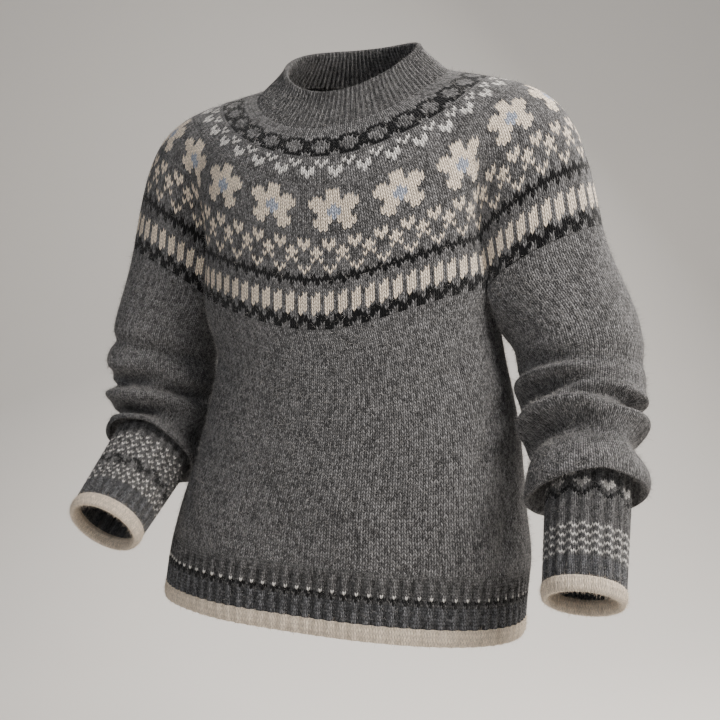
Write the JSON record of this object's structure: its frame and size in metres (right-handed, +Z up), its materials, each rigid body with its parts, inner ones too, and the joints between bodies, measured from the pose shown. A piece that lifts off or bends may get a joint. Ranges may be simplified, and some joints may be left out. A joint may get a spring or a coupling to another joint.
{
  "type": "nordic yoke sweater",
  "caption": "Thick heather-grey wool pullover with a round patterned yoke of cream flowers, ribbed crew neck, hem and cuffs, filled out and hollow, sleeves bunched.",
  "frame": {"origin": "middle of the neck base, where the neckband meets the yoke, held there by the wearer", "axes": "+Z up, the front faces -Y, the wearer's left is +X"},
  "size_m": [0.69, 0.3105, 0.7313],
  "materials": {
    "heather_wool": "matte fuzzy heather-grey stockinette",
    "yoke_wool": "matte fuzzy stranded colourwork in grey, cream, black and pale blue",
    "rib_wool": "matte fuzzy ribbing",
    "cream_wool": "matte fuzzy cream edging"
  },
  "bodies": {
    "root": {"neckband": "rib_wool", "yoke": "yoke_wool", "front": "heather_wool", "back": "heather_wool", "hem_rib": "rib_wool", "hem_edge": "cream_wool", "sleeve_left": "heather_wool", "sleeve_right": "heather_wool", "cuff_left": "rib_wool", "cuff_right": "rib_wool", "cuff_edge_left": "cream_wool", "cuff_edge_right": "cream_wool"}
  },
  "joints": []
}
